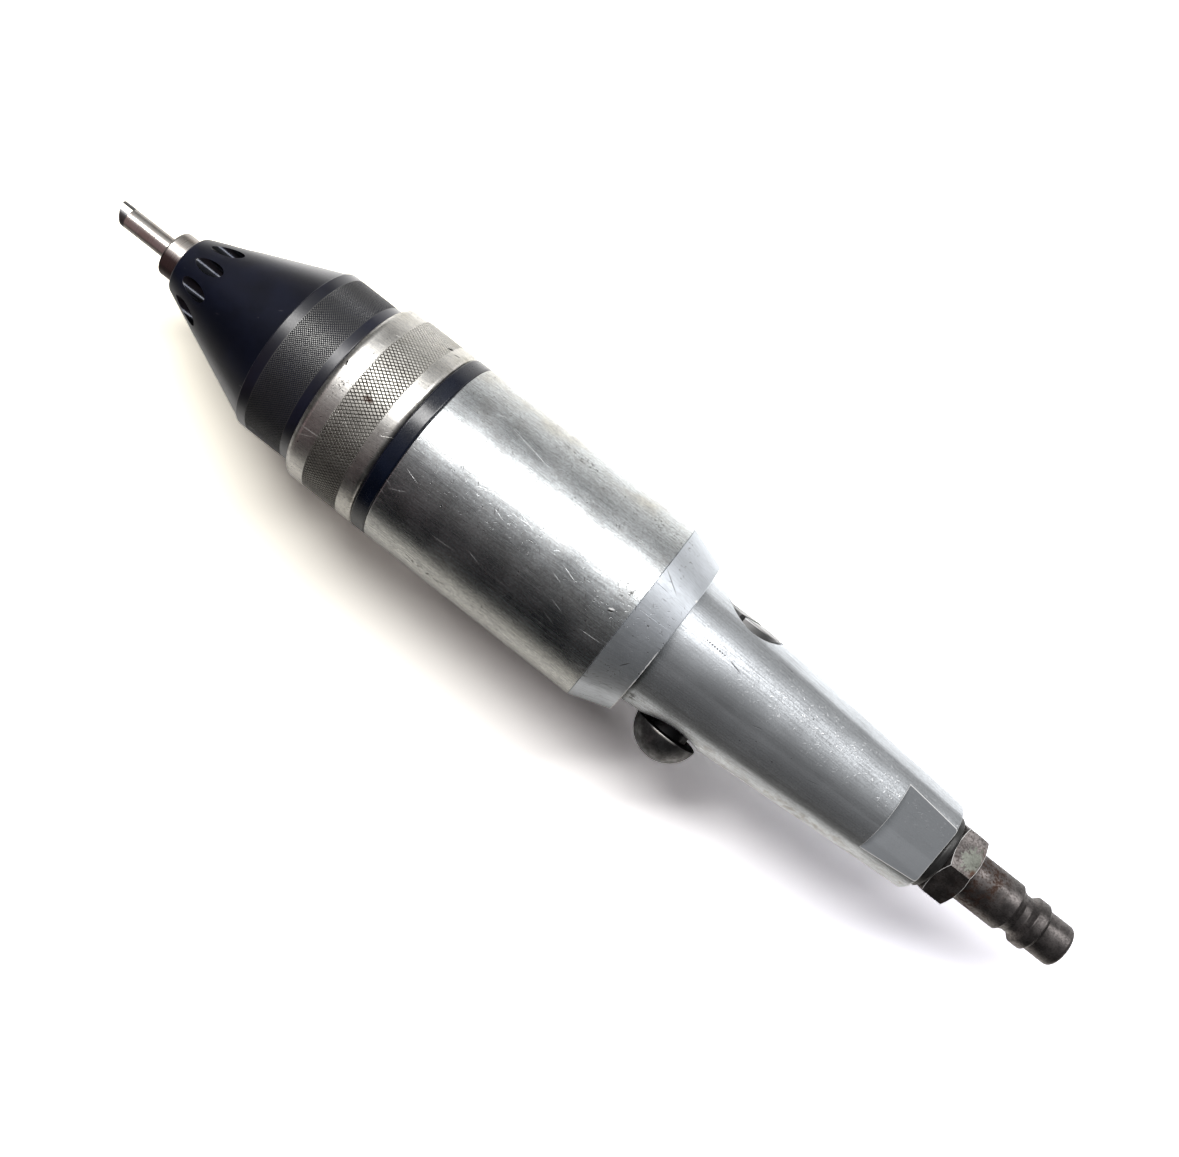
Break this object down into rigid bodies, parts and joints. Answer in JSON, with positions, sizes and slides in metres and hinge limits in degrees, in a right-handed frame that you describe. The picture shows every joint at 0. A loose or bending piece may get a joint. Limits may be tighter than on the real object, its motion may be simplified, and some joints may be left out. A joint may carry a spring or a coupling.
{
  "type": "air router",
  "caption": "Round hand-held air router: collet spindle in a vented nose cone, knurled clamp ring, vane motor housing, tapered handle with cross throttle and plug-in air nipple.",
  "frame": {"origin": "on the spindle axis, at the middle of the motor housing's plain cylinder", "axes": "+X along the spindle towards the cutter, +Y towards the throttle button, +Z out of one wrench flat"},
  "size_m": [0.268, 0.0467, 0.0466],
  "materials": {
    "bright_aluminium": "bright turned, scratched and stained with use",
    "handle_aluminium": "satin turned, fine lengthwise scuffs",
    "black_anodised": "satin black anodised, worn grey on the knurl",
    "black_band": "gloss black anodised",
    "inner_aluminium": "plain turned",
    "polished_steel": "polished",
    "tool_steel": "ground",
    "bearing_steel": "ground and polished",
    "cage_brass": "plain",
    "motor_iron": "ground",
    "vane_fibre": "fibre laminate",
    "button_steel": "dull grey, mottled",
    "plug_steel": "dark oiled steel with brown rust",
    "seal_rubber": "matte"
  },
  "bodies": {
    "body": {"nose_cone": "black_anodised", "spindle_housing": "inner_aluminium", "bearing_retainer": "tool_steel", "nose_bearing_outer_race": "bearing_steel", "clamp_ring": "bright_aluminium", "joint_ring": "black_band", "motor_housing": "bright_aluminium", "front_end_plate": "motor_iron", "front_bearing_outer_race": "bearing_steel", "preload_spring": "tool_steel", "cylinder": "motor_iron", "cylinder_dowel": "tool_steel", "rear_end_plate": "motor_iron", "rear_bearing_outer_race": "bearing_steel", "handle": "handle_aluminium", "handle_seal": "seal_rubber", "inlet_screen": "cage_brass", "inlet_washer": "seal_rubber", "inlet_nipple": "plug_steel"},
    "spindle": {"spindle": "tool_steel", "rotor": "tool_steel", "rotor_key": "tool_steel", "rotor_vanes": "vane_fibre", "bearing_nut": "tool_steel", "nose_bearing_inner_race": "bearing_steel", "front_bearing_inner_race": "bearing_steel", "rear_bearing_inner_race": "bearing_steel"},
    "nose_ball_train": {"nose_bearing_balls": "bearing_steel", "nose_bearing_cage": "cage_brass"},
    "front_ball_train": {"front_bearing_balls": "bearing_steel", "front_bearing_cage": "cage_brass"},
    "rear_ball_train": {"rear_bearing_balls": "bearing_steel", "rear_bearing_cage": "cage_brass"},
    "collet": {"collet": "tool_steel"},
    "collet_nut": {"collet_nut": "polished_steel"},
    "router_bit": {"router_bit": "polished_steel"},
    "throttle": {"throttle_spool": "tool_steel", "throttle_seals": "seal_rubber", "throttle_button": "button_steel", "throttle_cap": "button_steel"}
  },
  "joints": [
    {"name": "spindle_spin", "type": "hinge", "parent": "body", "child": "spindle", "pos_m": [0, 0, 0], "axis": [1, 0, 0], "continuous": true},
    {"name": "nose_balls_roll", "type": "hinge", "parent": "body", "child": "nose_ball_train", "pos_m": [0, 0, 0], "axis": [1, 0, 0], "continuous": true},
    {"name": "front_balls_roll", "type": "hinge", "parent": "body", "child": "front_ball_train", "pos_m": [0, 0, 0], "axis": [1, 0, 0], "continuous": true},
    {"name": "rear_balls_roll", "type": "hinge", "parent": "body", "child": "rear_ball_train", "pos_m": [0, 0, 0], "axis": [1, 0, 0], "continuous": true},
    {"name": "collet_slide", "type": "slide", "parent": "spindle", "child": "collet", "axis": [1, 0, 0], "range_m": [0, 0.00074]},
    {"name": "collet_nut_turn", "type": "hinge", "parent": "collet", "child": "collet_nut", "pos_m": [0.0963, 0, 0], "axis": [1, 0, 0], "range_deg": [0, 360]},
    {"name": "bit_draw", "type": "slide", "parent": "collet", "child": "router_bit", "axis": [1, 0, 0], "range_m": [0, 0.018]},
    {"name": "throttle_slide", "type": "slide", "parent": "body", "child": "throttle", "axis": [0, -1, 0], "range_m": [0, 0.0055]}
  ],
  "couplings": [
    {"joint": "nose_balls_roll", "follows": "spindle_spin", "ratio": 0.40769},
    {"joint": "front_balls_roll", "follows": "spindle_spin", "ratio": 0.36944},
    {"joint": "rear_balls_roll", "follows": "spindle_spin", "ratio": 0.36667},
    {"joint": "collet_nut_turn", "follows": "collet_slide", "rad_per_m": 8377.6}
  ]
}
